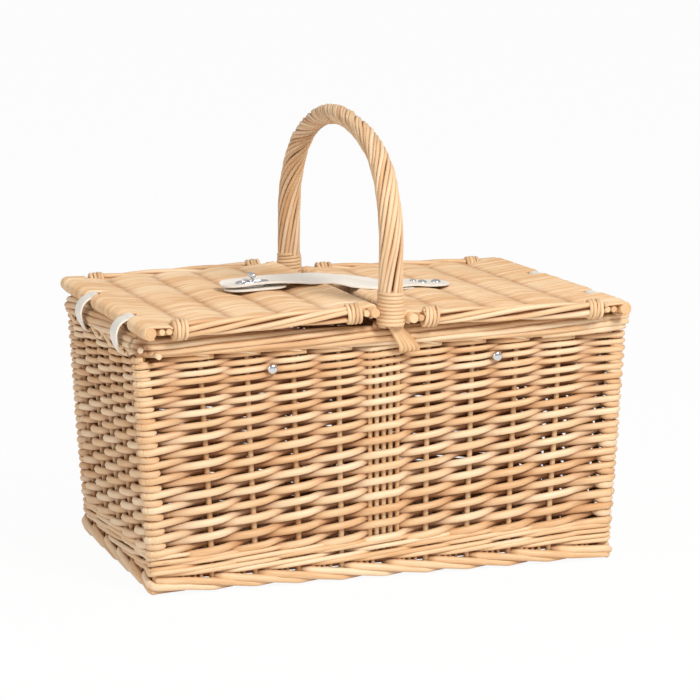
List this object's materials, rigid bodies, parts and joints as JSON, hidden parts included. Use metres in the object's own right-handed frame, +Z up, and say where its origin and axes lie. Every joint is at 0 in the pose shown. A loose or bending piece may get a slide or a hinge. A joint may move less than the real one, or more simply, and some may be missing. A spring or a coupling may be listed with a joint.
{
  "type": "picnic basket",
  "caption": "Rectangular woven willow picnic basket with two end-hinged lids, a fixed bow handle, soft hinge loops and a closing strap with a turn lock.",
  "frame": {"origin": "on the floor under the middle of the basket", "axes": "+X along the length to the right lid, +Y to the back, +Z up; front wall towards -Y"},
  "size_m": [0.4688, 0.327, 0.4179],
  "materials": {
    "willow_weave": "peeled willow rods, pale honey, satin",
    "willow_stick": "peeled willow sticks, cut ends pale",
    "cane_binding": "split willow or cane, slightly glossy",
    "strap_leather": "off-white smooth faux leather, matt",
    "metal": "bright plated steel"
  },
  "bodies": {
    "root": {"base_weave": "willow_weave", "base_sticks": "willow_stick", "foot_front": "willow_weave", "foot_right": "willow_weave", "foot_back": "willow_weave", "foot_left": "willow_weave", "wale_front": "willow_weave", "wale_right": "willow_weave", "wale_back": "willow_weave", "wale_left": "willow_weave", "wall_front": "willow_weave", "wall_right": "willow_weave", "wall_back": "willow_weave", "wall_left": "willow_weave", "stakes_front": "willow_stick", "stakes_right": "willow_stick", "stakes_back": "willow_stick", "stakes_left": "willow_stick", "corner_sticks": "willow_stick", "corner_front_left": "willow_weave", "corner_front_right": "willow_weave", "corner_back_right": "willow_weave", "corner_back_left": "willow_weave", "rim_front": "willow_weave", "rim_right": "willow_weave", "rim_back": "willow_weave", "rim_left": "willow_weave", "handle_core": "willow_stick", "handle_roping": "willow_weave", "handle_binding_front": "cane_binding", "handle_binding_back": "cane_binding", "handle_liner_rods": "willow_stick", "handle_fan_rods": "willow_weave", "hinge_loops_left": "strap_leather", "hinge_loops_right": "strap_leather", "wall_rivets": "metal", "rivet_washers": "metal"},
    "left_lid": {"left_lid_weave": "willow_weave", "left_lid_hinge_stick": "willow_stick", "left_lid_ribs": "willow_stick", "left_lid_edge_stick": "willow_stick", "left_lid_siding": "willow_weave", "left_lid_bindings": "cane_binding", "lock_patch": "strap_leather", "lock_plate": "metal"},
    "right_lid": {"right_lid_weave": "willow_weave", "right_lid_hinge_stick": "willow_stick", "right_lid_ribs": "willow_stick", "right_lid_edge_stick": "willow_stick", "right_lid_siding": "willow_weave", "right_lid_bindings": "cane_binding", "under_strap": "strap_leather", "strap_anchor": "strap_leather", "strap_rivets": "metal"},
    "strap": {"closure_strap": "strap_leather", "strap_eyelet": "metal"},
    "knob": {"turn_knob": "metal"}
  },
  "joints": [
    {"name": "left_lid_hinge", "type": "hinge", "parent": "root", "child": "left_lid", "pos_m": [-0.222, 0, 0.2385], "axis": [0, -1, 0], "range_deg": [0, 165], "deforming": ["closure_strap", "strap_eyelet"]},
    {"name": "right_lid_hinge", "type": "hinge", "parent": "root", "child": "right_lid", "pos_m": [0.222, 0, 0.2385], "axis": [0, 1, 0], "range_deg": [0, 165], "deforming": ["closure_strap", "strap_eyelet"]},
    {"name": "strap_fold", "type": "hinge", "parent": "right_lid", "child": "strap", "pos_m": [0.072, 0, 0.24885], "axis": [0, 1, 0], "range_deg": [0, 165], "deforming": ["closure_strap", "strap_eyelet"]},
    {"name": "turn_lock", "type": "hinge", "parent": "left_lid", "child": "knob", "pos_m": [-0.08302, 0, 0.24954], "axis": [-0.0384, 0, 0.9993], "range_deg": [0, 90]}
  ]
}
